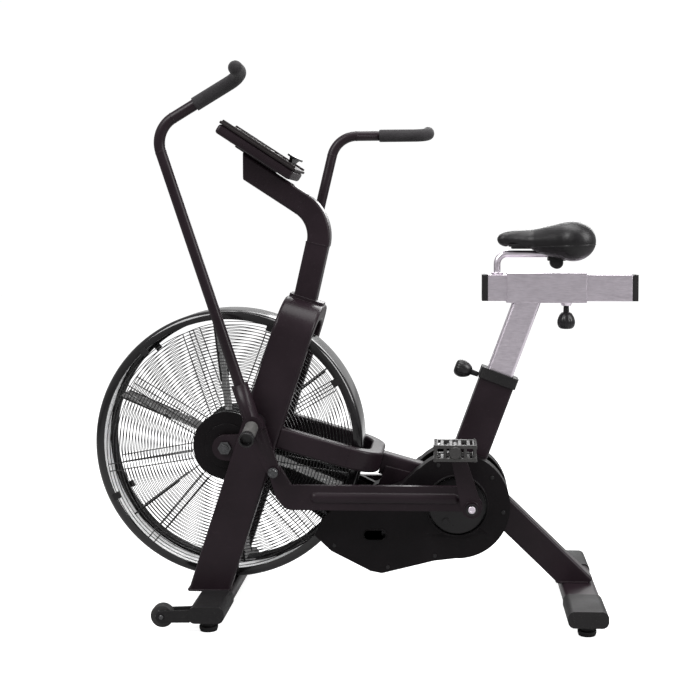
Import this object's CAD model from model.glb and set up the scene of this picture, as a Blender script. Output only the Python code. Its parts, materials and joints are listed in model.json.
import json
import math
import random

import bmesh
import bpy
from mathutils import Matrix, Vector, kdtree


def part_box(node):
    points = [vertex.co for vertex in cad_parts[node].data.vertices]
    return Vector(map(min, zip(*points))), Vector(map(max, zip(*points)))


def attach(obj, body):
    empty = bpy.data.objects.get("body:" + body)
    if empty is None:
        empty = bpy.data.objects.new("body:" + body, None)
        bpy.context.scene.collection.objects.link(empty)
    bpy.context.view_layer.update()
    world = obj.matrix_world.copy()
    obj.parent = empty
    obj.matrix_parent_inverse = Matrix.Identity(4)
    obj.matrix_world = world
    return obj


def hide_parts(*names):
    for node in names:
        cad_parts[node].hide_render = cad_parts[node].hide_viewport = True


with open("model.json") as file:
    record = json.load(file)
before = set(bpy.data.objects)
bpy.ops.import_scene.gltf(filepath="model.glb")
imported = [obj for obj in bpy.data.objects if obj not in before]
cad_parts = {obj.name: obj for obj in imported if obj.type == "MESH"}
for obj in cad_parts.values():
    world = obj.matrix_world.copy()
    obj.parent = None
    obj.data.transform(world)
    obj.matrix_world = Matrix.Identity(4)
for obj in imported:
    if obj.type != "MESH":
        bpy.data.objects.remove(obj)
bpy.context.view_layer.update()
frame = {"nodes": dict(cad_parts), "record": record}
nodes = frame["nodes"]
scene = bpy.context.scene
MM = 0.001
joints = {row["name"]: row for row in frame["record"]["behaviour"]["joints"]}
SIDES = (("left", -1), ("right", 1))


# ---- camera, floor and light ---------------------------------------------------------------

def add_camera():
    data = bpy.data.cameras.new("camera")
    data.lens = 65.5
    cam = bpy.data.objects.new("camera", data)
    cam.location = (0.204, -3.030, 0.920)
    cam.rotation_euler = (math.radians(86.99), 0, math.radians(2.29))
    data.shift_x, data.shift_y = -0.07, -0.09
    scene.collection.objects.link(cam)
    scene.camera = cam


def area_light(name, place, aim, size, power):
    data = bpy.data.lights.new(name, "AREA")
    data.shape = "RECTANGLE"
    data.size, data.size_y = size
    data.energy = power
    light = bpy.data.objects.new(name, data)
    light.location = place
    light.rotation_euler = (Vector(aim) - Vector(place)).to_track_quat("-Z", "Y").to_euler()
    scene.collection.objects.link(light)


def studio(seen, given):
    """A white room: seen is its brightness behind the object, given is the light it sheds."""
    world = bpy.data.worlds.new("studio")
    scene.world = world
    world.use_nodes = True
    tree = world.node_tree
    tree.nodes.clear()
    out = tree.nodes.new("ShaderNodeOutputWorld")
    mix = tree.nodes.new("ShaderNodeMixShader")
    tree.links.new(tree.nodes.new("ShaderNodeLightPath").outputs["Is Camera Ray"], mix.inputs[0])
    for i, power in enumerate((given, seen)):
        white = tree.nodes.new("ShaderNodeBackground")
        white.inputs[0].default_value = (1, 1, 1, 1)
        white.inputs[1].default_value = power
        tree.links.new(white.outputs[0], mix.inputs[i + 1])
    tree.links.new(mix.outputs[0], out.inputs[0])


def add_floor(half):
    mesh = bpy.data.meshes.new("floor")
    mesh.from_pydata([(-half, -half, 0), (half, -half, 0), (half, half, 0), (-half, half, 0)],
                     [], [(0, 1, 2, 3)])
    floor = bpy.data.objects.new("floor", mesh)
    scene.collection.objects.link(floor)
    mesh.materials.append(backdrop("floor_white"))


# ---- materials -----------------------------------------------------------------------------

class Nodes:
    """A short way to write a procedural material, in the object's own metres."""

    def __init__(self, name):
        self.mat = bpy.data.materials.new(name)
        self.mat.use_nodes = True
        self.tree = self.mat.node_tree
        self.tree.nodes.clear()
        out = self.tree.nodes.new("ShaderNodeOutputMaterial")
        self.bsdf = self.tree.nodes.new("ShaderNodeBsdfPrincipled")
        self.tree.links.new(self.bsdf.outputs[0], out.inputs[0])
        self.place = self.tree.nodes.new("ShaderNodeTexCoord").outputs["Object"]

    def put(self, value, socket):
        if isinstance(value, bpy.types.NodeSocket):
            self.tree.links.new(value, socket)
        else:
            socket.default_value = value

    def add(self, kind, out=0, props=None, **inputs):
        node = self.tree.nodes.new(kind)
        for key, value in (props or {}).items():
            setattr(node, key, value)
        for key, value in inputs.items():
            self.put(value, node.inputs[int(key[1:]) if key[0] == "i" and key[1:].isdigit() else key])
        return node.outputs[out]

    def stretched(self, scale):
        return self.add("ShaderNodeMapping", i0=self.place, Scale=scale)

    def noise(self, scale, detail=3, rough=0.55, place=None, distortion=0):
        return self.add("ShaderNodeTexNoise", Vector=place or self.place, Scale=scale, Detail=detail,
                        Roughness=rough, Distortion=distortion)

    def cells(self, scale, out=0, **props):
        return self.add("ShaderNodeTexVoronoi", out, props, Vector=self.place, Scale=scale)

    def span(self, value, low, high, to_low=0.0, to_high=1.0):
        return self.add("ShaderNodeMapRange", i0=value, i1=low, i2=high, i3=to_low, i4=to_high)

    def sums(self, kind, a, b):
        return self.add("ShaderNodeMath", props={"operation": kind}, i0=a, i1=b)

    def mix(self, factor, a, b):
        node = self.tree.nodes.new("ShaderNodeMix")
        node.data_type = "RGBA"
        self.put(factor, node.inputs[0])
        self.put((*a, 1) if isinstance(a, tuple) else a, node.inputs[6])
        self.put((*b, 1) if isinstance(b, tuple) else b, node.inputs[7])
        return node.outputs[2]

    def bump(self, height, strength, distance, under=None):
        node = self.tree.nodes.new("ShaderNodeBump")
        self.put(height, node.inputs["Height"])
        node.inputs["Strength"].default_value = strength
        node.inputs["Distance"].default_value = distance
        if under is not None:
            self.put(under, node.inputs["Normal"])
        return node.outputs[0]

    def edges(self, radius):
        """Softened edges, as a normal."""
        return self.add("ShaderNodeBevel", props={"samples": 4}, Radius=radius)

    def finish(self, colour, rough, normal=None, metal=0.0, coat=0.0, sheen=0.0, specular=0.5):
        self.put(colour, self.bsdf.inputs["Base Color"])
        self.put(rough, self.bsdf.inputs["Roughness"])
        if normal is not None:
            self.put(normal, self.bsdf.inputs["Normal"])
        self.bsdf.inputs["Metallic"].default_value = metal
        self.bsdf.inputs["Coat Weight"].default_value = coat
        self.bsdf.inputs["Coat Roughness"].default_value = 0.12
        self.bsdf.inputs["Sheen Weight"].default_value = sheen
        self.bsdf.inputs["Sheen Roughness"].default_value = 0.5
        self.bsdf.inputs["Specular IOR Level"].default_value = specular
        return self.mat


def paint(name, dark, light, rough, grain, depth, bevel=1.5 * MM, coat=0.0, scuffs=0.12, specular=0.5):
    """Black paint: orange peel or powder texture, faint cloudiness, a few dull scuffs and dust."""
    n = Nodes(name)
    cloud = n.noise(7, 4, 0.6)
    fine = n.noise(grain, 2, 0.5)
    worn = n.span(n.noise(38, 5, 0.72, n.stretched((1, 1, 3)), 0.6), 0.60, 0.76)
    dust = n.span(n.noise(420, 2, 0.5), 0.70, 0.76)
    colour = n.mix(n.span(cloud, 0.3, 0.7), dark, light)
    colour = n.mix(n.sums("MULTIPLY", worn, scuffs), colour, tuple(min(1, 3.2 * c + 0.01) for c in light))
    colour = n.mix(n.sums("MULTIPLY", dust, 0.10), colour, (0.22, 0.21, 0.2))
    shine = n.span(cloud, 0.25, 0.75, rough[0], rough[1])
    shine = n.sums("ADD", shine, n.sums("MULTIPLY", worn, 0.12))
    normal = n.bump(fine, 0.55, depth, n.edges(bevel))
    return n.finish(colour, shine, normal, coat=coat, specular=specular)


def moulded(name, dark, light, rough, grain, depth, bevel=1.2 * MM, dusty=0.15,
            specular=0.5):
    """Moulded plastic or rubber with a fine cell texture and a little dust in it."""
    n = Nodes(name)
    cloud = n.noise(11, 4, 0.6)
    pits = n.cells(grain, feature="F1")
    fleck = n.span(n.noise(600, 3, 0.6), 0.62, 0.72)
    colour = n.mix(n.span(cloud, 0.3, 0.7), dark, light)
    colour = n.mix(n.sums("MULTIPLY", fleck, dusty), colour, (0.17, 0.165, 0.16))
    shine = n.span(cloud, 0.25, 0.75, rough[0], rough[1])
    height = n.sums("ADD", n.sums("MULTIPLY", pits, 0.6), n.noise(grain * 1.7, 2))
    return n.finish(colour, shine, n.bump(height, 0.5, depth, n.edges(bevel)), specular=specular)


def metal(name, dark, light, rough, brush, depth, bevel=0.8 * MM, metallic=1.0, tarnish=0.2,
          spangle=0.0, glow=0.0):
    """Bare or plated metal, brushed along one axis, with tarnish clouds and fine scratches."""
    n = Nodes(name)
    cloud = n.noise(9, 5, 0.62)
    grain = n.noise(1.0, 4, 0.7, n.stretched(brush))
    across = n.stretched(tuple(1.9 * b + 11 for b in brush))
    scratch = n.span(n.noise(1.0, 2, 0.5, across, 0.3), 0.66, 0.70)
    colour = n.mix(n.span(grain, 0.3, 0.7), dark, light)
    colour = n.mix(n.sums("MULTIPLY", n.span(cloud, 0.5, 0.75), tarnish), colour,
                   tuple(0.45 * c for c in dark))
    shine = n.span(grain, 0.3, 0.7, rough[0], rough[1])
    if spangle:
        flake = n.cells(140, out=1)
        tone = n.add("ShaderNodeSeparateColor", i0=flake)
        colour = n.mix(n.sums("MULTIPLY", tone, spangle), colour, tuple(min(1, 1.25 * c) for c in light))
        shine = n.sums("ADD", shine, n.sums("MULTIPLY", tone, 0.12))
    shine = n.sums("ADD", shine, n.sums("MULTIPLY", scratch, 0.15))
    height = n.sums("SUBTRACT", grain, n.sums("MULTIPLY", scratch, 0.7))
    n.bsdf.inputs["Emission Color"].default_value = (1, 1, 1, 1)
    n.bsdf.inputs["Emission Strength"].default_value = glow
    return n.finish(colour, shine, n.bump(height, 0.35, depth, n.edges(bevel)), metal=metallic)


def foam(name):
    """Closed cell foam: soft, pitted and a little shiny where it is handled."""
    n = Nodes(name)
    cloud = n.noise(16, 4, 0.6)
    cell = n.cells(620, feature="F1")
    pit = n.span(n.cells(1500, feature="F1"), 0.1, 0.6)
    rubbed = n.span(n.noise(24, 3, 0.6), 0.5, 0.72)
    colour = n.mix(n.span(cloud, 0.3, 0.7), (0.011, 0.010, 0.011), (0.022, 0.0205, 0.022))
    colour = n.mix(n.sums("MULTIPLY", n.span(cell, 0.45, 0.75), 0.35), colour, (0.040, 0.037, 0.040))
    shine = n.span(rubbed, 0, 1, 0.92, 0.74)
    height = n.sums("ADD", n.sums("MULTIPLY", cell, 0.8), n.sums("MULTIPLY", pit, 0.4))
    return n.finish(colour, shine, n.bump(height, 0.65, 0.45 * MM), sheen=0.06, specular=0.2)


def vinyl(name):
    """Grained saddle vinyl, with low folds and a soft shine."""
    n = Nodes(name)
    cloud = n.noise(9, 4, 0.6)
    grain = n.cells(430, feature="DISTANCE_TO_EDGE")
    fold = n.span(grain, 0.0, 0.16)
    wrinkle = n.noise(60, 5, 0.68, n.stretched((1, 0.5, 1)), 0.8)
    colour = n.mix(n.span(cloud, 0.3, 0.7), (0.0060, 0.0054, 0.0060), (0.0115, 0.0104, 0.0115))
    colour = n.mix(n.span(fold, 0, 1, 0.45, 1), (0.0035, 0.0032, 0.0035), colour)
    shine = n.span(cloud, 0.25, 0.75, 0.30, 0.42)
    height = n.sums("ADD", n.sums("MULTIPLY", fold, 0.6), n.sums("MULTIPLY", wrinkle, 0.5))
    return n.finish(colour, shine, n.bump(height, 0.45, 0.3 * MM), specular=0.24)


def backdrop(name):
    """A floor that looks white but sheds little light on the object."""
    n = Nodes(name)
    colour = n.mix(n.span(n.noise(2.5, 3), 0.3, 0.7), (0.42, 0.42, 0.42), (0.46, 0.46, 0.46))
    n.bsdf.inputs["Emission Color"].default_value = (1, 1, 1, 1)
    seen = n.add("ShaderNodeLightPath", "Is Camera Ray")
    n.put(n.sums("MULTIPLY", seen, 0.86), n.bsdf.inputs["Emission Strength"])
    return n.finish(colour, 0.6, n.bump(n.noise(60, 3), 0.05, 0.2 * MM), specular=0.2)


def screen(name):
    """A grey display behind clear plastic, with faint segments."""
    n = Nodes(name)
    rows = n.add("ShaderNodeTexWave", props={"bands_direction": "Y"}, Vector=n.place, Scale=26, Distortion=0)
    cloud = n.noise(12, 3)
    colour = n.mix(n.span(cloud, 0.3, 0.7), (0.060, 0.068, 0.060), (0.085, 0.094, 0.082))
    colour = n.mix(n.sums("MULTIPLY", n.span(rows, 0.90, 0.98), 0.5), colour, (0.02, 0.022, 0.02))
    return n.finish(colour, n.span(cloud, 0.2, 0.8, 0.08, 0.16), n.bump(n.noise(300, 2), 0.1, 0.02 * MM))


MATERIALS = {
    "frame_paint": paint("frame_paint", (0.0092, 0.0056, 0.0075), (0.0150, 0.0094, 0.0125),
                         (0.27, 0.38), 620, 0.18 * MM, 2.2 * MM, specular=0.14),
    "cage_paint": paint("cage_paint", (0.004, 0.0036, 0.004), (0.007, 0.0064, 0.007),
                        (0.08, 0.16), 190, 0.04 * MM, 1.5 * MM, coat=0.25, scuffs=0.04, specular=0.32),
    "cover_plastic": moulded("cover_plastic", (0.0034, 0.0027, 0.0031), (0.0062, 0.0050, 0.0058),
                             (0.30, 0.42), 900, 0.14 * MM, 2.2 * MM, specular=0.08),
    "console_gloss": paint("console_gloss", (0.0110, 0.0088, 0.0092), (0.0170, 0.0138, 0.0144),
                           (0.42, 0.52), 700, 0.05 * MM, 1.5 * MM, scuffs=0.03, specular=0.12),
    "rubber": moulded("rubber", (0.0065, 0.0060, 0.0065), (0.0112, 0.0104, 0.0110),
                      (0.48, 0.66), 700, 0.25 * MM, 1.8 * MM, dusty=0.22, specular=0.18),
    "knob_plastic": moulded("knob_plastic", (0.0060, 0.0055, 0.0060), (0.0100, 0.0092, 0.0100),
                            (0.24, 0.36), 1000, 0.1 * MM, 1.5 * MM, specular=0.25),
    "wheel_rubber": moulded("wheel_rubber", (0.014, 0.0135, 0.0135), (0.022, 0.021, 0.021),
                            (0.6, 0.78), 600, 0.35 * MM, 1.5 * MM, dusty=0.4, specular=0.3),
    "silver_steel": metal("silver_steel", (0.58, 0.53, 0.585), (0.70, 0.64, 0.705), (0.28, 0.38),
                          (60, 420, 420), 0.04 * MM, 2.5 * MM, tarnish=0.12),
    "blade_steel": metal("blade_steel", (0.84, 0.845, 0.85), (0.92, 0.922, 0.925), (0.42, 0.55),
                         (40, 60, 40), 0.08 * MM, 0.6 * MM, metallic=0.0, tarnish=0.06, spangle=0.2,
                         glow=0.12),
    "plain_steel": metal("plain_steel", (0.055, 0.055, 0.057), (0.11, 0.11, 0.113), (0.26, 0.42),
                         (300, 60, 300), 0.05 * MM),
    "crank_black": paint("crank_black", (0.0062, 0.0056, 0.0062), (0.0110, 0.0100, 0.0108),
                         (0.24, 0.36), 500, 0.16 * MM, 1.8 * MM, specular=0.22),
    "peg_steel": metal("peg_steel", (0.075, 0.073, 0.070), (0.14, 0.136, 0.132), (0.34, 0.5),
                       (260, 60, 260), 0.1 * MM, 1.0 * MM, metallic=0.5),
    "pedal_alloy": metal("pedal_alloy", (0.020, 0.019, 0.019), (0.045, 0.043, 0.042), (0.36, 0.50),
                         (400, 400, 400), 0.2 * MM, 1.0 * MM, metallic=0.3),
    "grip_foam": foam("grip_foam"),
    "saddle_cover": vinyl("saddle_cover"),
    "screen": screen("screen"),
}

NODE_SLOTS = {row["node"]: row["material_slot"] for row in frame["record"]["subparts"]}


def dress(obj, slot_name):
    obj.data.materials.clear()
    obj.data.materials.append(MATERIALS[slot_name])


# ---- mesh helpers --------------------------------------------------------------------------

def box_of(node):
    low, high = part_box(node)
    return low, high, (low + high) / 2


def piece(name, bm, slot_name, body, replaced=(), sharp=35, look=None):
    """Turns a bmesh into a finished piece that rides on a body. A look stands for the slot's own material."""
    bmesh.ops.recalc_face_normals(bm, faces=bm.faces)
    mesh = bpy.data.meshes.new(name)
    bm.to_mesh(mesh)
    bm.free()
    for face in mesh.polygons:
        face.use_smooth = True
    mesh.set_sharp_from_angle(angle=math.radians(sharp))
    obj = bpy.data.objects.new(name, mesh)
    scene.collection.objects.link(obj)
    mesh.materials.append(MATERIALS[look or slot_name])
    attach(obj, body)
    if replaced:
        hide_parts(*replaced)
    return obj


def tube(bm, points, radius, sides, closed=False):
    """A round tube along points; radius is a number or one for each point."""
    count = len(points)
    radii = radius if isinstance(radius, (list, tuple)) else [radius] * count
    points = [Vector(p) for p in points]
    rings, side = [], None
    for i, p in enumerate(points):
        before = points[i - 1] if i or closed else p
        after = points[(i + 1) % count] if i < count - 1 or closed else p
        along = (after - before).normalized()
        if side is None:
            side = along.orthogonal().normalized()
        side = (side - along * side.dot(along)).normalized()
        other = along.cross(side)
        rings.append([bm.verts.new(p + radii[i] * (math.cos(t) * side + math.sin(t) * other))
                      for t in (2 * math.pi * k / sides for k in range(sides))])
    pairs = list(zip(rings, rings[1:]))
    if closed:
        first, last = rings[0], rings[-1]
        shift = min(range(sides), key=lambda s: (first[s].co - last[0].co).length)
        pairs.append((last, first[shift:] + first[:shift]))
    for a, b in pairs:
        for k in range(sides):
            bm.faces.new((a[k], a[(k + 1) % sides], b[(k + 1) % sides], b[k]))
    if not closed:
        bm.faces.new(rings[0][::-1])
        bm.faces.new(rings[-1])


ALONG_Y = Matrix.Rotation(math.radians(-90), 3, "X")
ALONG_Z = Matrix.Identity(3)


def lathe(bm, profile, place, turn, steps):
    """Turns (along, radius) pairs about an axis through place, closing the ends."""
    place = Vector(place)
    rings = []
    for along, r in profile:
        rings.append([bm.verts.new(place + turn @ Vector((r * math.cos(t), r * math.sin(t), along)))
                      for t in (2 * math.pi * k / steps for k in range(steps))])
    for a, b in zip(rings, rings[1:]):
        for k in range(steps):
            bm.faces.new((a[k], a[(k + 1) % steps], b[(k + 1) % steps], b[k]))
    bm.faces.new(rings[0][::-1])
    bm.faces.new(rings[-1])


def slab(bm, centre, size, radius, segments, turn=None):
    """A box with rounded edges."""
    made = bmesh.new()
    bmesh.ops.create_cube(made, size=1)
    bmesh.ops.scale(made, vec=size, verts=made.verts)
    bmesh.ops.bevel(made, geom=made.edges[:], offset=min(radius, min(size) * 0.45),
                    segments=segments, profile=0.6, affect="EDGES")
    if turn is not None:
        bmesh.ops.transform(made, matrix=turn.to_4x4(), verts=made.verts)
    bmesh.ops.translate(made, vec=centre, verts=made.verts)
    pour(bm, made)


def pour(bm, other):
    """Adds a second bmesh's faces to the first."""
    twin = {v: bm.verts.new(v.co) for v in other.verts}
    for face in other.faces:
        bm.faces.new([twin[v] for v in face.verts])
    other.free()


def welded(node):
    """A CAD node's surface as a clean bmesh: joined corners and whole flat faces."""
    bm = bmesh.new()
    bm.from_mesh(nodes[node].data)
    bmesh.ops.remove_doubles(bm, verts=bm.verts, dist=3e-6)
    bmesh.ops.dissolve_limit(bm, angle_limit=math.radians(0.5), verts=bm.verts, edges=bm.edges)
    return bm


# ---- guards and fan ------------------------------------------------------------------------

RINGS = 28
SPOKES = 9
WIRE = 0.95 * MM
SPOKE_WIRE = 1.3 * MM
SPOKE_APART = 8.5 * MM
FIRST_SPOKE = 30
BLADES = 6
FIRST_BLADE = -7
# The blade's ends, its wide part and its rib, by their distance from the axis
BLADE_ROOT, BLADE_TIP = 30, 285.5
ROOT_END = 82 * MM
ROOT_HALF, BLADE_HALF = 41.9 * MM, 49.5 * MM
RIB_FROM, RIB_TO, RIB_RISE = 0.10, 0.27, 1.6 * MM
STRIP_AT, STRIP_SIZE = 218 * MM, (4.2 * MM, 5 * MM, 136 * MM)


def guard_wires(node, outward):
    """Fine ring wires dished towards the hub, on pairs of radial wires."""
    low, high, mid = box_of(node)
    r_in = (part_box("hub_covers")[1].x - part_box("hub_covers")[0].x) / 2 + 5 * MM
    r_out = (high.x - low.x) / 2 - 2 * MM
    y_hub, y_rim = (low.y, high.y) if outward < 0 else (high.y, low.y)
    y_rim += outward * 3 * MM

    def depth(r):
        f = max(0.0, min(1.0, (r - r_in) / (r_out - r_in)))
        return y_hub + (y_rim - y_hub) * f ** 1.4 - outward * WIRE

    bm = bmesh.new()
    for i in range(RINGS):
        r = r_in + i * (r_out - r_in) / (RINGS - 1)
        tube(bm, [(mid.x + r * math.cos(t), depth(r), mid.z + r * math.sin(t))
                  for t in (2 * math.pi * k / 128 for k in range(128))], WIRE, 6, closed=True)
    for i in range(SPOKES):
        a = math.radians(FIRST_SPOKE + 360 / SPOKES * i)
        along, across = Vector((math.cos(a), 0, math.sin(a))), Vector((-math.sin(a), 0, math.cos(a)))
        for shift in (-SPOKE_APART, SPOKE_APART):
            points = []
            for k in range(9):
                r = r_in - 4 * MM + k * (r_out - r_in + 4 * MM) / 8
                p = mid + along * r + across * shift
                p.y = depth(r) - outward * (WIRE + 0.8 * SPOKE_WIRE)
                points.append(p)
            tube(bm, points, SPOKE_WIRE, 8)
    piece(node + "_wires", bm, "cage_paint", "frame", (node,))


def fan_blades():
    """Pale pressed sheet blades with a dark riveted strip down each side."""
    low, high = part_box("fan_blades")
    hub = (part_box("cage_rim")[0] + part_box("cage_rim")[1]) / 2
    sheets, strips = bmesh.new(), bmesh.new()
    half = min(-low.y, high.y)
    for i in range(BLADES):
        turn = Matrix.Rotation(math.radians(i * 360 / BLADES + FIRST_BLADE), 3, "Y")
        made = bmesh.new()
        rows = 14
        grid = []
        for j in range(rows + 1):
            z = (BLADE_ROOT + j * (BLADE_TIP - BLADE_ROOT) / rows) * MM
            w = ROOT_HALF if z < ROOT_END else BLADE_HALF
            line = []
            for k in range(9):
                y = -w + 2 * w * k / 8
                rise = 0
                if RIB_FROM < z < RIB_TO:
                    rise = RIB_RISE * math.sin((z - RIB_FROM) / (RIB_TO - RIB_FROM) * math.pi)
                line.append(made.verts.new((rise * math.cos(math.pi * y / w / 2), y, z)))
            grid.append(line)
        for a0, a1 in zip(grid, grid[1:]):
            for k in range(8):
                made.faces.new((a0[k], a0[k + 1], a1[k + 1], a1[k]))
        bmesh.ops.solidify(made, geom=made.faces[:], thickness=1.4 * MM)
        bmesh.ops.transform(made, matrix=turn.to_4x4(), verts=made.verts)
        bmesh.ops.translate(made, vec=(hub.x, 0, hub.z), verts=made.verts)
        pour(sheets, made)
        for y in (-half + 3 * MM, half - 3 * MM):
            slab(strips, turn @ Vector((0, y, STRIP_AT)) + Vector((hub.x, 0, hub.z)),
                 STRIP_SIZE, 1.2 * MM, 2, turn)
        for z in (165, 215, 265):
            for y in (-half + 12 * MM, half - 12 * MM):
                lathe(strips, [(-2.4 * MM, 3 * MM), (2.4 * MM, 3 * MM)],
                      turn @ Vector((0, y, z * MM)) + Vector((hub.x, 0, hub.z)),
                      turn @ Matrix.Rotation(math.radians(90), 3, "Y"), 10)
    piece("blade_sheets", sheets, "blade_steel", "fan", ("fan_blades",))
    piece("blade_strips", strips, "rubber", "fan", ("fan_blades",))


def rim():
    """The cage rim: glossy outside, bare pale sheet inside."""
    low, high, mid = box_of("cage_rim")
    outer = (high.x - low.x) / 2
    obj = piece("cage_band", welded("cage_rim"), "cage_paint", "frame", ("cage_rim",), 30)
    obj.data.materials.append(MATERIALS["blade_steel"])
    for face in obj.data.polygons:
        arm = Vector((face.center.x - mid.x, 0, face.center.z - mid.z))
        inward = -face.normal.dot(arm.normalized())
        if inward > 0.9 and arm.length > outer - 8 * MM and abs(face.center.y) < high.y - 9 * MM:
            face.material_index = 1


# ---- chain covers --------------------------------------------------------------------------

# More corners than this lie in a cover's outer face, and fewer in any level of its fittings
OUTLINE_CORNERS = 60


def soft_cover(node, outward, width):
    """The cover as a moulded shell: its outer edges are well rounded."""
    bm = welded(node)
    face_y = [abs(v.co.y) for v in bm.verts]
    levels = sorted({round(y, 4) for y in face_y}, reverse=True)
    flat = max((y for y in levels if sum(abs(v - y) < 1e-4 for v in face_y) > OUTLINE_CORNERS),
               default=levels[0])
    picked = []
    for e in bm.edges:
        if len(e.link_faces) != 2 or any(abs(abs(v.co.y) - flat) > 2e-4 for v in e.verts):
            continue
        a, b = (f.normal.y * outward for f in e.link_faces)
        if max(a, b) > 0.9 and min(a, b) < 0.2 and e.is_convex and e.calc_face_angle(0) > 1.0:
            picked.append(e)
    bmesh.ops.bevel(bm, geom=picked, offset=width, segments=5, profile=0.5, affect="EDGES",
                    clamp_overlap=True)
    piece(node + "_shell", bm, "cover_plastic", "frame", (node,), 40)


# ---- arms ----------------------------------------------------------------------------------

# The arms' middle lines are the CAD's: angles in degrees, lengths along the tube.
ARM_LEAN = {"left": -17.5, "right": 13}
ARM_FLARE = 4.3
ARM_LENGTH = 700 * MM
ARM_TURN = 76.5
ARM_BEND = 65 * MM
GRIP_AT = 199 * MM
GRIP_BEND = 34 * MM
GRIP_OUT = 24 * MM
GRIP_RAISE = 15
CAD_ARM, SLIM_ARM = 15 * MM, 12.5 * MM
CAD_GRIP, SLIM_GRIP = 18 * MM, 15.9 * MM
SOCKET = 96 * MM


def arm_place(side, out, p):
    """A point of the arm's own frame in the part's frame."""
    pivot = Vector(joints[side + "_arm_swing"]["pos_m"])
    p = Matrix.Rotation(math.radians(-ARM_FLARE), 3, "X") @ p
    p = Matrix.Rotation(math.radians(ARM_LEAN[side]), 3, "Y") @ p
    return Vector((pivot.x + p.x, pivot.y + out * p.y, pivot.z + p.z))


def arm_line(side, out):
    """The middle line of an arm and its grip: straight run, bend, second run, outward bend."""
    reach_of_bend = ARM_BEND * math.tan(math.radians(ARM_TURN / 2))
    bend_at = ARM_LENGTH - reach_of_bend
    points = [Vector((0, 0, SOCKET + k * (bend_at - SOCKET) / 200)) for k in range(200)]
    for k in range(60):
        a = math.radians(ARM_TURN * k / 60)
        points.append(Vector((ARM_BEND * (1 - math.cos(a)), 0, bend_at + ARM_BEND * math.sin(a))))
    turn = Matrix.Rotation(math.radians(ARM_TURN), 3, "Y")
    lift = turn @ Matrix.Rotation(math.radians(GRIP_RAISE), 3, "Z")
    top = Vector((0, 0, ARM_LENGTH))
    for k in range(60):
        points.append(top + turn @ Vector((0, 0, reach_of_bend + k * (GRIP_AT - reach_of_bend) / 60)))
    for k in range(30):
        a = math.radians(90 * k / 30)
        points.append(top + lift @ Vector((0, GRIP_BEND * (1 - math.cos(a)),
                                           GRIP_AT + GRIP_BEND * math.sin(a))))
    for k in range(9):
        points.append(top + lift @ Vector((0, GRIP_BEND + GRIP_OUT * k / 8, GRIP_AT + GRIP_BEND)))
    return [arm_place(side, out, q) for q in points]


def slimmed(verts, line, radius_for):
    """Moves each vertex beyond the start of a line to a new distance from that line."""
    tree = kdtree.KDTree(len(line))
    for i, p in enumerate(line):
        tree.insert(p, i)
    tree.balance()
    forward = (line[1] - line[0]).normalized()
    for v in verts:
        if (v.co - line[0]).dot(forward) < 0:
            continue
        i = tree.find(v.co)[1]
        best = None
        for a, b in zip(line[max(0, i - 1):i + 1], line[max(1, i):i + 2]):
            f = max(0.0, min(1.0, (v.co - a).dot(b - a) / (b - a).length_squared))
            centre = a.lerp(b, f)
            if best is None or (v.co - centre).length < (v.co - best).length:
                best = centre
        away = v.co - best
        if away.length > 1e-6:
            v.co = best + away.normalized() * radius_for(away.length)


def arm_radius(r):
    """The tube gets slimmer, the socket round its foot keeps its size."""
    return r if r > CAD_ARM + 1.5 * MM else r * SLIM_ARM / CAD_ARM


def grip_radius(r):
    """The foam stays round the slimmer tube."""
    inner = SLIM_ARM + 0.1 * MM
    if r < CAD_ARM:
        return r * inner / CAD_ARM
    return inner + (r - CAD_ARM) * (SLIM_GRIP - inner) / (CAD_GRIP - CAD_ARM)


def arm(side, out):
    """The arm, with a slimmer tube than the CAD's above its socket."""
    node = "arm_" + side
    bm = welded(node)
    slimmed(bm.verts, arm_line(side, out), arm_radius)
    piece("arm_frame_" + side, bm, NODE_SLOTS[node], side + "_arm", (node,), 30)


# ---- foam and upholstery -------------------------------------------------------------------

def remeshed(name, node, voxel, rounds):
    """A soft copy of a CAD solid: even small faces, smoothed."""
    obj = bpy.data.objects.new(name, nodes[node].data.copy())
    scene.collection.objects.link(obj)
    weld = obj.modifiers.new("weld", "WELD")
    weld.merge_threshold = 5e-6
    remesh = obj.modifiers.new("remesh", "REMESH")
    remesh.mode = "VOXEL"
    remesh.voxel_size = voxel
    smooth = obj.modifiers.new("smooth", "SMOOTH")
    smooth.iterations = rounds
    return baked(obj)


def baked(obj):
    """Applies every modifier."""
    bpy.context.view_layer.update()
    shape = obj.evaluated_get(bpy.context.evaluated_depsgraph_get())
    mesh = bpy.data.meshes.new_from_object(shape)
    obj.modifiers.clear()
    obj.data = mesh
    for face in mesh.polygons:
        face.use_smooth = True
    return obj


def soft_piece(obj, slot_name, body, replaced):
    dress(obj, slot_name)
    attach(obj, body)
    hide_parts(replaced)


CLOTH_FRAMES = 20
MOST_SWELL = 3 * MM
SEAM_AT, SEAM_SLOPE = 0.42, -0.05


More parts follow.
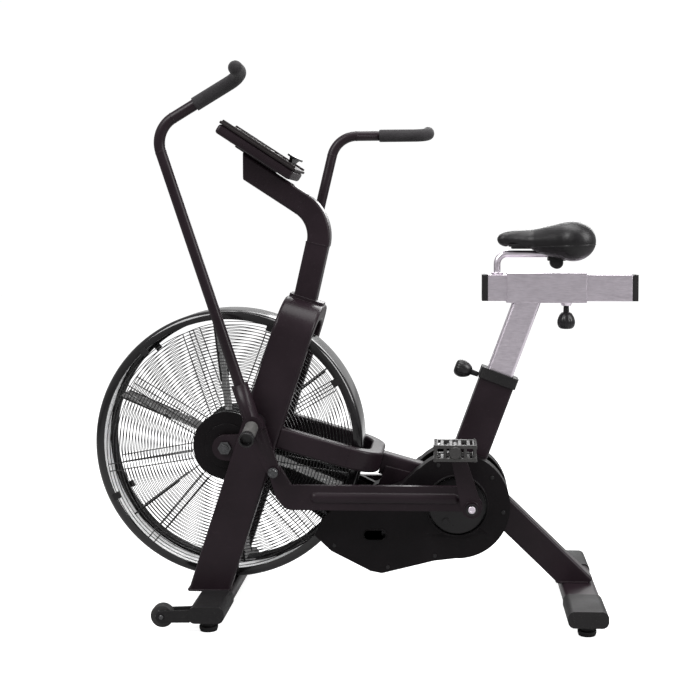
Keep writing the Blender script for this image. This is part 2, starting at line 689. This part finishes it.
def saddle():
    """The cushion is blown up a little by a cloth run, then gets a piped seam along its sides."""
    obj = remeshed("saddle_cushion", "saddle_pad", 4.5 * MM, 4)
    flat = [v.co.copy() for v in obj.data.vertices]
    cloth = obj.modifiers.new("cloth", "CLOTH")
    cloth.settings.use_pressure = True
    cloth.settings.uniform_pressure_force = 4
    cloth.settings.effector_weights.gravity = 0
    cloth.settings.tension_stiffness = cloth.settings.compression_stiffness = 40
    cloth.settings.bending_stiffness = 3
    cloth.point_cache.frame_start, cloth.point_cache.frame_end = 1, CLOTH_FRAMES
    for number in range(1, CLOTH_FRAMES + 1):
        scene.frame_set(number)
    baked(obj)
    scene.frame_set(1)
    for v, start in zip(obj.data.vertices, flat):
        move = v.co - start
        if move.length > MOST_SWELL:
            v.co = start + move.normalized() * MOST_SWELL
    sub = obj.modifiers.new("fine", "SUBSURF")
    sub.levels = sub.render_levels = 1
    baked(obj)
    soft_piece(obj, "saddle_cover", "slider", "saddle_pad")

    low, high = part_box("saddle_pad")
    seam = bmesh.new()
    seam.from_mesh(obj.data)
    cut = bmesh.ops.bisect_plane(seam, geom=seam.verts[:] + seam.edges[:] + seam.faces[:],
                                 plane_co=(high.x, 0, low.z + SEAM_AT * (high.z - low.z)),
                                 plane_no=(SEAM_SLOPE, 0, 1))
    edges = dict.fromkeys(e for e in cut["geom_cut"] if isinstance(e, bmesh.types.BMEdge))
    loops = []
    while edges:
        e = next(iter(edges))
        del edges[e]
        path = [e.verts[0], e.verts[1]]
        grown = True
        while grown:
            grown = False
            for e in path[-1].link_edges:
                if e in edges:
                    del edges[e]
                    path.append(e.other_vert(path[-1]))
                    grown = True
                    break
        loops.append([v.co.copy() for v in path[:-1]])
    seam.free()
    path = max(loops, key=len)[::3]
    for _ in range(6):
        path = [(path[i - 1] + path[i] * 2 + path[(i + 1) % len(path)]) / 4 for i in range(len(path))]
    bm = bmesh.new()
    tube(bm, path, 1.7 * MM, 8, closed=True)
    piece("saddle_piping", bm, "saddle_cover", "slider", ("saddle_pad",))


# ---- pedals, pegs, knobs and bolts ---------------------------------------------------------

PEDAL_RAIL = 10 * MM
STUD = 2 * MM


def pedal(side, out):
    """An open platform: rails, ribs and slats round a sealed core, with studs on both faces."""
    node = "pedal_" + side
    low, high, mid = box_of(node)
    axis = Vector(joints[side + "_pedal_spin"]["pos_m"])
    axis.y = mid.y
    length = high.y - low.y
    bm = bmesh.new()
    core = [(-length / 2 + 1 * MM, 9 * MM), (-length / 2 + 1 * MM, 12 * MM), (-length / 2 + 4 * MM, 14 * MM),
            (-length * 0.2, 13.4 * MM), (0, 11.5 * MM), (length * 0.2, 13.4 * MM),
            (length / 2 - 3 * MM, 14 * MM), (length / 2 - 0.5 * MM, 12.5 * MM),
            (length / 2 - 0.5 * MM, 4 * MM)]
    lathe(bm, core if out > 0 else [(-a, r) for a, r in reversed(core)], axis, ALONG_Y, 28)
    wide, tall = high.x - low.x, high.z - low.z
    y_in, y_out = low.y + 8 * MM, high.y - 8 * MM
    rails = (low.x + PEDAL_RAIL / 2, high.x - PEDAL_RAIL / 2)

    def post(x, y):
        slab(bm, (x, y, mid.z), (7 * MM, 8 * MM, tall - 8 * MM), 1.5 * MM, 1)

    for x in rails:
        for z in (low.z + PEDAL_RAIL / 2, high.z - PEDAL_RAIL / 2):
            slab(bm, (x, mid.y, z), (PEDAL_RAIL, length - 6 * MM, PEDAL_RAIL), 2.5 * MM, 2)
        for k in range(4):
            post(x, y_in + k * (y_out - y_in) / 3)
    for y in (y_in, y_out):
        for z in (low.z + 4.5 * MM, high.z - 4.5 * MM):
            slab(bm, (mid.x, y, z), (wide - 12 * MM, 9 * MM, 8 * MM), 2 * MM, 2)
        for x in (mid.x - 22 * MM, mid.x, mid.x + 22 * MM):
            post(x, y)
    for z in (low.z + 4 * MM, high.z - 4 * MM):
        for k in range(4):
            x = low.x + 19 * MM + k * (wide - 38 * MM) / 3
            slab(bm, (x, mid.y, z), (8.5 * MM, length - 22 * MM, 4.5 * MM), 1.2 * MM, 1)
    for z, start, end in ((low.z, -1.6, 2), (high.z, -2, 1.6)):
        for x in rails:
            for k in range(5):
                y = low.y + 12 * MM + k * (length - 24 * MM) / 4
                lathe(bm, [(start * MM, STUD), (end * MM, STUD)], (x, y, z), ALONG_Z, 10)
    piece("pedal_platform_" + side, bm, "pedal_alloy", side + "_pedal", (node,))


PEG_DROOP = math.radians(12)
PEG_LENGTH = 79.5 * MM
PEG_BAR = [(0, 14), (0, 15.3), (64, 15.3), (64, 12)]
PEG_END = [(62, 13), (62, 16.6), (63.5, 17.2), (77.5, 17.2), (79, 16.4), (79, 13.6), (76, 12.8), (66, 12.4)]


def pegs():
    """Grey foot pegs with open black ends."""
    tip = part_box("foot_pegs")[1].y
    pivot = Vector(joints["left_arm_swing"]["pos_m"])
    bars, ends = bmesh.new(), bmesh.new()
    for _, out in SIDES:
        away = Vector((0, out * math.cos(PEG_DROOP), -math.sin(PEG_DROOP)))
        turn = Vector((0, 0, 1)).rotation_difference(away).to_matrix()
        start = Vector((pivot.x, out * (tip - PEG_LENGTH), pivot.z))
        lathe(bars, [(a * MM, b * MM) for a, b in PEG_BAR], start, turn, 32)
        lathe(ends, [(a * MM, b * MM) for a, b in PEG_END], start, turn, 36)
    piece("peg_bars", bars, "peg_steel", "frame", ("foot_pegs",))
    piece("peg_ends", ends, "rubber", "frame", ("foot_pegs",), look="knob_plastic")


BELL = [(0, 7), (0.4, 9), (3, 12.5), (8, 16), (14, 19), (20, 20.8), (26, 21.2), (32, 20.2),
        (37, 17.6), (40, 13.6), (41, 9), (41, 4)]
FLUTES = 9


def knob(name, joint, body, stem):
    """A bell shaped pull knob with shallow flutes, on a stem given in millimetres."""
    out = Vector(joints[joint]["axis"]).normalized()
    turn = Vector((0, 0, 1)).rotation_difference(out).to_matrix()
    corners = [v.co for v in nodes[name].data.vertices]
    far = max(c.dot(out) for c in corners)
    tip = [c for c in corners if c.dot(out) > far - 0.5 * MM]
    place = sum(tip, Vector()) / len(tip) - out * (stem + BELL[-1][0]) * MM
    bm = bmesh.new()
    lathe(bm, [(0, 6 * MM)] + [((stem + a) * MM, b * MM) for a, b in BELL], place, turn, 72)
    for v in bm.verts:
        rel = turn.inverted() @ (v.co - place)
        flat = math.hypot(rel.x, rel.y)
        if rel.z > (stem + 14) * MM and flat > 12 * MM:
            dip = 0.9 * MM * max(0, math.cos(FLUTES * math.atan2(rel.y, rel.x))) ** 6
            v.co = place + turn @ Vector((rel.x * (1 - dip / flat), rel.y * (1 - dip / flat), rel.z))
    piece(name + "_bell", bm, "knob_plastic", body, (name,), 30)


def turned_cap(bm, profile, x, y, z, out, steps):
    """A lathe along the side a bolt faces."""
    rows = [(a * MM * out, b * MM) for a, b in profile]
    lathe(bm, rows if out > 0 else rows[::-1], (x, y, z), ALONG_Y, steps)


WASHER = [(0, 12), (0.4, 13.4), (2, 13.4), (2.6, 12.4), (2.6, 8.4)]
PIN_HEAD = [(0, 8.3), (5.2, 8.3), (6.0, 7.2), (6.0, 4.2), (5.3, 3.9)]
LEVER_HEAD = [(0, 11.2), (0.8, 12), (2.0, 11.4), (2.2, 9.8), (6.2, 9.6), (7.4, 8.4), (7.4, 5), (6.4, 4.6)]
CRANK_OUT, LEVER_OUT, LEVER_IN = 31 * MM, 18 * MM, 15 * MM


def bolts():
    """A washer and a bright bolt head on each link pin, and a dark bolt head on each lever's end."""
    for side, out in SIDES:
        low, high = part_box("link_" + side)
        pin = Vector(joints[side + "_link_turn"]["pos_m"])
        link_face = (high.y if out > 0 else low.y) - out * 1.5 * MM
        crank_face = link_face + out * CRANK_OUT
        bm = bmesh.new()
        turned_cap(bm, WASHER, pin.x, crank_face, pin.z, out, 36)
        piece("pin_washer_" + side, bm, "crank_black", "cranks")
        bm = bmesh.new()
        turned_cap(bm, PIN_HEAD, pin.x, crank_face, pin.z, out, 24)
        piece("pin_bolt_" + side, bm, "plain_steel", "cranks", look="silver_steel")
        nose = [v.co for v in nodes["link_" + side].data.vertices if v.co.x < low.x + 0.6 * MM]
        z = sum(c.z for c in nose) / len(nose)
        bm = bmesh.new()
        turned_cap(bm, LEVER_HEAD, low.x + LEVER_IN, link_face + out * LEVER_OUT, z, out, 32)
        piece("lever_bolt_" + side, bm, "plain_steel", side + "_arm")


# ---- console -------------------------------------------------------------------------------

def reach(node, turn, origin):
    """A node's lowest and highest corner in a turned frame."""
    back = turn.inverted()
    seen = [back @ (v.co - origin) for v in nodes[node].data.vertices]
    return (Vector([min(p[k] for p in seen) for k in range(3)]),
            Vector([max(p[k] for p in seen) for k in range(3)]))


# The body's depth, how much shorter it is than the CAD's, and how far it moves down its slope
BODY_DEEP, BODY_TRIM, BODY_SHIFT = 24 * MM, 18 * MM, 6 * MM
BRACKET_LONG, BRACKET_WIDE, BRACKET_BELOW = 112 * MM, 48 * MM, 12 * MM


def console():
    """A rounded body with a railed bezel, a blank display, plain keys and a flared tray."""
    face = max((f for f in nodes["console_front"].data.polygons if f.normal.z > 0.3), key=lambda f: f.area)
    up = face.normal.normalized()
    down = Vector((up.z, 0, -up.x))
    turn = Matrix((down, Vector((0, 1, 0)), up)).transposed()
    origin = box_of("console_front")[2]

    def put(bm, centre, size, radius, segments):
        slab(bm, origin + turn @ Vector(centre), size, radius, segments, turn)

    f_low, f_high = reach("console_front", turn, origin)
    b_low, b_high = reach("console_back", turn, origin)
    long, wide = f_high.x - f_low.x - BODY_TRIM, f_high.y - f_low.y
    origin = origin + turn @ Vector((BODY_SHIFT, 0, 0))

    bm = bmesh.new()
    put(bm, (0, 0, b_high.z - BODY_DEEP / 2), (long - 3 * MM, wide - 3 * MM, BODY_DEEP), 9 * MM, 5)
    bracket_top = b_high.z - BRACKET_BELOW
    put(bm, (0, 0, (b_low.z + bracket_top) / 2),
        (BRACKET_LONG, BRACKET_WIDE, bracket_top - b_low.z), 3 * MM, 2)
    for x in (-0.3, 0, 0.3):
        put(bm, (x * long, 0, b_high.z - BODY_DEEP - 0.4 * MM), (3 * MM, wide * 0.7, 1.6 * MM), 0.6 * MM, 1)
    piece("console_body", bm, "cover_plastic", "frame", ("console_back",), look="frame_paint")

    bm = bmesh.new()
    thick = f_high.z - f_low.z
    put(bm, (0, 0, (f_low.z + f_high.z) / 2 - 1 * MM), (long, wide, thick - 2 * MM), 4 * MM, 4)
    top = f_high.z
    sx = -0.16 * long
    s_long, s_wide = 0.44 * long, 0.76 * wide
    for x in (sx - s_long / 2 - 3 * MM, sx + s_long / 2 + 3 * MM):
        put(bm, (x, 0, top - 1.5 * MM), (6 * MM, s_wide + 12 * MM, 3 * MM), 1.2 * MM, 2)
    for y in (-s_wide / 2 - 3 * MM, s_wide / 2 + 3 * MM):
        put(bm, (sx, y, top - 1.5 * MM), (s_long + 8 * MM, 6 * MM, 3 * MM), 1.2 * MM, 2)
    for y in (4.5 * MM - wide / 2, wide / 2 - 4.5 * MM):
        put(bm, (0, y, top - 0.5 * MM), (long - 8 * MM, 7 * MM, 7 * MM), 2.6 * MM, 4)
    piece("console_bezel", bm, "console_gloss", "frame", ("console_front",))

    bm = bmesh.new()
    put(bm, (sx, 0, top - 2.0 * MM), (s_long, s_wide, 1.2 * MM), 0.3 * MM, 1)
    piece("console_screen", bm, "console_gloss", "frame", ("console_front",), look="screen")

    bm = bmesh.new()
    for row in range(2):
        for k in range(3):
            put(bm, ((0.17 + 0.12 * row) * long, (k - 1) * 0.24 * wide, top - 1.6 * MM),
                (15 * MM, 30 * MM, 3 * MM), 1.4 * MM, 2)
    piece("console_keys", bm, "rubber", "frame", ("console_front",), look="wheel_rubber")

    t_low, t_high = reach("device_tray", turn, origin)
    mid_x = (t_low.x + t_high.x) / 2
    bm = bmesh.new()
    shape = []
    for k in range(9):
        f = k / 8
        half = (0.30 + 0.20 * f ** 2.2) * (t_high.y - t_low.y)
        z = t_low.z + f * (t_high.z - 5 * MM - t_low.z)
        shape.append([bm.verts.new(origin + turn @ Vector((mid_x + dx, y, z)))
                      for dx, y in ((-4 * MM, -half), (4 * MM, -half), (4 * MM, half), (-4 * MM, half))])
    for a, b in zip(shape, shape[1:]):
        for k in range(4):
            bm.faces.new((a[k], a[(k + 1) % 4], b[(k + 1) % 4], b[k]))
    bm.faces.new(shape[0][::-1])
    bm.faces.new(shape[-1])
    put(bm, (mid_x, 0, t_high.z - 2.5 * MM),
        (t_high.x - t_low.x, t_high.y - t_low.y, 5 * MM), 2.2 * MM, 3)
    put(bm, (t_high.x - 2 * MM, 0, t_high.z - 2 * MM),
        (3.5 * MM, t_high.y - t_low.y - 4 * MM, 6 * MM), 1.5 * MM, 2)
    piece("tray_shelf", bm, "rubber", "frame", ("device_tray",), look="knob_plastic")


# ---- wheels and weld beads -----------------------------------------------------------------

TYRE_HALF = [(-11, 10), (-11, 3), (-9.6, 1), (-7.5, 0), (-2.4, 0), (-1.6, 1.2)]


def wheel(side):
    """A ribbed tyre on a spoked plastic core."""
    node = "wheel_" + side
    low, high, mid = box_of(node)
    r = (high.z - low.z) / 2
    tread = TYRE_HALF + [(-a, depth) for a, depth in reversed(TYRE_HALF)]
    bm = bmesh.new()
    lathe(bm, [(a * MM, r - depth * MM) for a, depth in tread], mid, ALONG_Y, 56)
    piece("tyre_" + side, bm, "wheel_rubber", side + "_wheel", (node,))
    bm = bmesh.new()
    lathe(bm, [(-11.6 * MM, 4 * MM), (-11.6 * MM, 9 * MM), (11.6 * MM, 9 * MM), (11.6 * MM, 4 * MM)],
          mid, ALONG_Y, 32)
    for k in range(6):
        turn = Matrix.Rotation(k * math.pi / 3, 3, "Y")
        slab(bm, mid + turn @ Vector((11.5 * MM, 0, 0)), (8 * MM, 23 * MM, 3.4 * MM), 0.8 * MM, 1, turn)
    half = (high.y - low.y) / 2
    lathe(bm, [(-half, 3.6 * MM), (-half + 1 * MM, 4.9 * MM), (half - 1 * MM, 4.9 * MM), (half, 3.6 * MM)],
          mid, ALONG_Y, 24)
    piece("wheel_core_" + side, bm, "wheel_rubber", side + "_wheel", (node,), look="plain_steel")


BEAD = 2.6 * MM
BEAD_STEP = 2.2 * MM
TUBE_CORNER = 7 * MM


def bead(bm, corners, seed):
    """A hand laid weld: a rippled round bead along a closed path."""
    rng = random.Random(seed)
    path, size = [], []
    for i, a in enumerate(corners):
        b = corners[(i + 1) % len(corners)]
        count = max(1, int((b - a).length / BEAD_STEP))
        for k in range(count):
            path.append(a.lerp(b, k / count))
            size.append(BEAD * (1 + (0.16 if len(size) % 2 else -0.10) + rng.uniform(-0.05, 0.05)))
    tube(bm, path, size, 6, closed=True)


def round_loop(cx, cy, z, hx, hy, r):
    """A rounded rectangle at a height, as points."""
    points = []
    for k in range(24):
        a = 2 * math.pi * (k + 0.5) / 24
        sx, sy = (1 if math.cos(a) > 0 else -1), (1 if math.sin(a) > 0 else -1)
        points.append(Vector((cx + sx * (hx - r) + r * math.cos(a), cy + sy * (hy - r) + r * math.sin(a), z)))
    return points


def foot_section(node):
    """Centre and half sizes of a tube where it stands on another."""
    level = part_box(node)[0].z + 1.5 * MM
    seen = [v.co for v in nodes[node].data.vertices if v.co.z < level]
    xs, ys = [c.x for c in seen], [c.y for c in seen]
    return ((min(xs) + max(xs)) / 2, (min(ys) + max(ys)) / 2,
            (max(xs) - min(xs)) / 2, (max(ys) - min(ys)) / 2)


def beads():
    bm = bmesh.new()
    for i, node in enumerate(("fork_left", "fork_right", "rear_tube")):
        cx, cy, hx, hy = foot_section(node)
        bead(bm, round_loop(cx, cy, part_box(node)[0].z + 1.2 * MM, hx, hy, TUBE_CORNER), i)
    piece("weld_beads", bm, "frame_paint", "frame")


# ---- the scene -----------------------------------------------------------------------------

add_camera()
scene.view_settings.view_transform = "Standard"
studio(1.02, 0.50)
area_light("key", (-1.9, -2.0, 2.9), (-0.1, 0, 0.55), (1.5, 1.5), 105)
area_light("top", (0.2, 0.1, 3.1), (0.1, 0, 0.5), (2.6, 1.4), 85)
area_light("rim", (2.5, -0.9, 1.9), (0.2, 0, 0.5), (0.9, 1.8), 75)
area_light("back", (0.6, 2.6, 2.0), (0, 0, 0.6), (2.2, 1.6), 60)

add_floor(12)

for name, obj in nodes.items():
    if name in NODE_SLOTS:
        dress(obj, NODE_SLOTS[name])

for side, out in SIDES:
    arm(side, out)
    grip = remeshed("foam_grip_" + side, "grip_" + side, 2.2 * MM, 3)
    slimmed(grip.data.vertices, arm_line(side, out), grip_radius)
    soft_piece(grip, "grip_foam", side + "_arm", "grip_" + side)

guard_wires("guard_left", -1)
guard_wires("guard_right", 1)
fan_blades()
soft_cover("chain_cover_left", -1, 9 * MM)
soft_cover("chain_cover_right", 1, 9 * MM)
rim()
saddle()
for side, out in SIDES:
    pedal(side, out)
    wheel(side)
pegs()
bolts()
console()
beads()
knob("post_knob", "post_pin_pull", "post_pin", 18)
knob("slider_knob", "slider_pin_pull", "slider_pin", 22)
